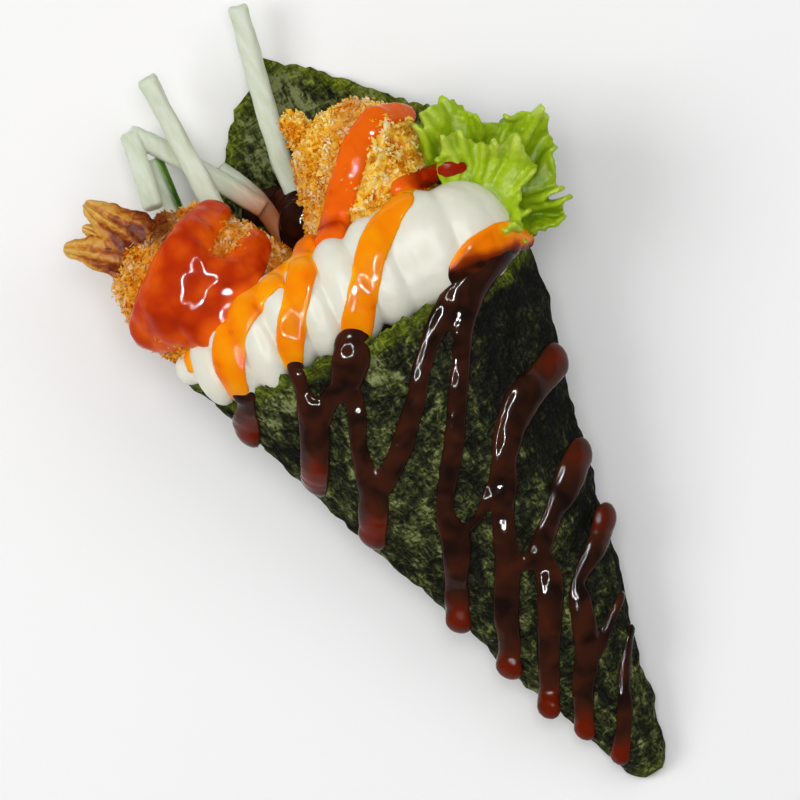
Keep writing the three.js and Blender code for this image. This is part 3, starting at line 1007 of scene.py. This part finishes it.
def make_sauces(nori, right, left, mayonnaise, leaf):
    red = sauce_material("red_sauce", (0, 146, 26, 2), (0.45, 190, 52, 4), (1, 240, 102, 10))
    orange = sauce_material(
        "orange_sauce", (0, 38, 14, 6), (0.25, 150, 52, 4), (0.5, 250, 126, 0), (1, 255, 172, 6))
    dark = sauce_material(
        "dark_sauce", (-0.2, 26, 12, 7), (0.1, 56, 26, 14), (0.4, 74, 29, 12), (1, 104, 26, 3),
        cloudy=0.8)
    make_sauce("red_sauce", RED_STROKES, tree_of(left, right, mayonnaise, leaf), red,
               "red_sauce", 0.45, red_tone, smoothing=20, swell=0.55, spread=0.8)
    make_sauce("orange_sauce", ORANGE_STROKES, tree_of(mayonnaise, leaf), orange,
               "orange_sauce", 0.26, orange_tone)
    make_sauce("pooled_sauce", POOL_STROKES, tree_of(left, right, nori), dark,
               "dark_sauce", 0.5, dark_tone)
    make_sauce("dark_sauce", DARK_STROKES, tree_of(nori, mayonnaise), dark,
               "dark_sauce", 0.45, dark_tone, swell=0.12)


# Stage, light and camera

def add_light(name, kind, place, energy, size):
    """An area light that only lights, or a lamp that only shows as a highlight."""
    light = bpy.data.lights.new(name, kind)
    light.energy = energy
    if kind == "AREA":
        light.size = size
    else:
        light.shadow_soft_size = size
    holder = bpy.data.objects.new(name, light)
    holder.location = place
    holder.rotation_euler = (-Vector(place)).to_track_quat("-Z", "Y").to_euler()
    holder.visible_camera = False
    holder.visible_glossy = kind != "AREA"
    holder.visible_diffuse = kind == "AREA"
    bpy.context.scene.collection.objects.link(holder)


def make_stage():
    mesh = bpy.data.meshes.new("floor")
    corners = [(-1, -1), (1, -1), (1, 1), (-1, 1)]
    vertices = [(FLOOR_HALF * x, FLOOR_HALF * y, 0) for x, y in corners]
    mesh.from_pydata(vertices, [], [(0, 1, 2, 3)])
    floor = bpy.data.objects.new("floor", mesh)
    bpy.context.scene.collection.objects.link(floor)
    material, tree, shader = node_material("floor", roughness=0.7, specular=0.1)
    colour = add_ramp(tree, add_noise(tree, 300, 2), [(0.3, grey(0.95)), (0.7, grey(0.96))])
    tree.links.new(colour, shader.inputs["Base Color"])
    mesh.materials.append(material)
    floor.location.z = -FLOOR_DROP


def make_light():
    world = bpy.data.worlds.new("studio")
    world.use_nodes = True
    background = world.node_tree.nodes["Background"]
    background.inputs["Color"].default_value = (1, 1, 1, 1)
    background.inputs["Strength"].default_value = SKY_STRENGTH
    bpy.context.scene.world = world
    for name, place, energy, size in SOFTBOXES:
        add_light(name, "AREA", place, energy, size)
    for lamp in range(RING_LAMPS):
        angle = 2 * math.pi * lamp / RING_LAMPS
        place = (RING_RADIUS * math.cos(angle), RING_RADIUS * math.sin(angle), RING_HEIGHT)
        add_light(f"ring_{lamp}", "POINT", place, RING_POWER, RING_SIZE)


def make_camera():
    """Straight above, turned so that the cone points down and to the right."""
    camera = bpy.data.cameras.new("camera")
    camera.sensor_width = 36
    camera.lens = camera.sensor_width * CAMERA_DISTANCE / VIEW_WIDTH
    camera.clip_start = 0.01
    holder = bpy.data.objects.new("camera", camera)
    holder.location = (VIEW_X, TIP * MM + VIEW_ALONG, VIEW_HEIGHT + CAMERA_DISTANCE)
    holder.rotation_euler = (0, 0, math.radians(CAMERA_TURN))
    bpy.context.scene.collection.objects.link(holder)
    bpy.context.scene.camera = holder


def build():
    crust = crust_material()
    nori = make_nori(nori_material())
    right = make_crust(
        "prawn_right_crust", [PRAWN_RIGHT, SPUR], crust, "prawn_right", soaked_right)
    left = make_crust("prawn_left_crust", [PRAWN_LEFT], crust, "prawn_left", soaked_left)
    make_crumbs("crumbs_right", right, crust, 12000, soaked_right)
    make_crumbs("crumbs_left", left, crust, 11000, soaked_left)
    make_tail(tail_material())
    cucumber = cucumber_material()
    for node in sorted(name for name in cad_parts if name.startswith("cucumber")):
        make_cucumber(node, cucumber)
    mayonnaise = make_mayonnaise(mayonnaise_material())
    leaf = make_lettuce(lettuce_material())
    make_sauces(nori, right, left, mayonnaise, leaf)


bpy.context.scene.view_settings.view_transform = "Standard"
make_stage()
make_light()
make_camera()
build()
